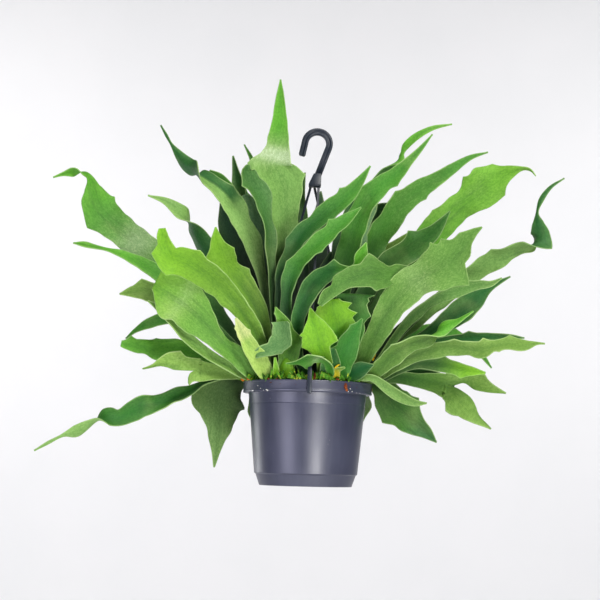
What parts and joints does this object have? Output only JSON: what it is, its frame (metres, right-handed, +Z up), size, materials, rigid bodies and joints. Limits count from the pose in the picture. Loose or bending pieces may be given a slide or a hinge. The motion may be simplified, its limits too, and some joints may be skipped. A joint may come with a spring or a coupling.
{
  "type": "staghorn fern",
  "caption": "Staghorn fern with forked, waved fronds, growing in a moulded plastic hanging pot with a clip-on strand hanger and an open hook.",
  "frame": {"origin": "the seat of the hanger's hook: the underside of its bend, where the part hangs", "axes": "+Z up, -Y towards the front, +X to the right seen from the front"},
  "size_m": [0.6049, 0.3198, 0.4726],
  "materials": {
    "pot_plastic": "dark slate injection-moulded plastic, satin, with a faint mould line and light scuffs",
    "hanger_plastic": "dark slate moulded plastic, satin",
    "soil": "damp peat and coir, rough and matt",
    "frond_lime": "young yellow-green blade, softly satin, fine veins and pale felted margin",
    "frond_bright": "bright green blade, softly satin, fine veins and pale margin",
    "frond_green": "mid green blade, softly satin, with a thin grey felt",
    "frond_pale": "pale green blade under grey-white felt",
    "frond_felted": "green blade under a blue-grey bloom of felt",
    "frond_olive": "olive green older blade, matt",
    "frond_dark": "deep green blade, satin, with a thin pale margin"
  },
  "bodies": {
    "root": {"frond_01": "frond_pale", "frond_02": "frond_green", "frond_03": "frond_felted", "frond_04": "frond_green", "frond_05": "frond_lime", "frond_06": "frond_green", "frond_07": "frond_green", "frond_08": "frond_dark", "frond_09": "frond_olive", "frond_10": "frond_bright", "frond_11": "frond_bright", "frond_12": "frond_pale", "frond_13": "frond_dark", "frond_14": "frond_olive", "frond_15": "frond_felted", "frond_16": "frond_dark", "frond_17": "frond_dark", "frond_18": "frond_dark", "frond_19": "frond_green", "frond_20": "frond_felted", "frond_21": "frond_dark", "frond_22": "frond_green", "frond_23": "frond_green", "frond_24": "frond_green", "frond_25": "frond_felted", "frond_26": "frond_green", "frond_27": "frond_green", "frond_28": "frond_green", "frond_29": "frond_felted", "frond_30": "frond_green", "frond_31": "frond_green", "frond_32": "frond_green", "frond_33": "frond_dark", "frond_34": "frond_bright", "frond_35": "frond_green", "frond_36": "frond_green", "frond_37": "frond_bright", "frond_38": "frond_dark", "frond_39": "frond_green", "frond_40": "frond_olive", "frond_41": "frond_dark", "frond_42": "frond_dark", "frond_43": "frond_dark", "frond_44": "frond_dark", "frond_45": "frond_dark", "hanger_hook": "hanger_plastic", "hanger_strand_front": "hanger_plastic", "hanger_strand_left": "hanger_plastic", "hanger_strand_right": "hanger_plastic", "pot": "pot_plastic", "rear_fronds_left": "frond_dark", "rear_fronds_middle": "frond_dark", "rear_fronds_right": "frond_dark", "soil": "soil", "young_fronds_left": "frond_bright", "young_fronds_right": "frond_bright"}
  },
  "joints": []
}
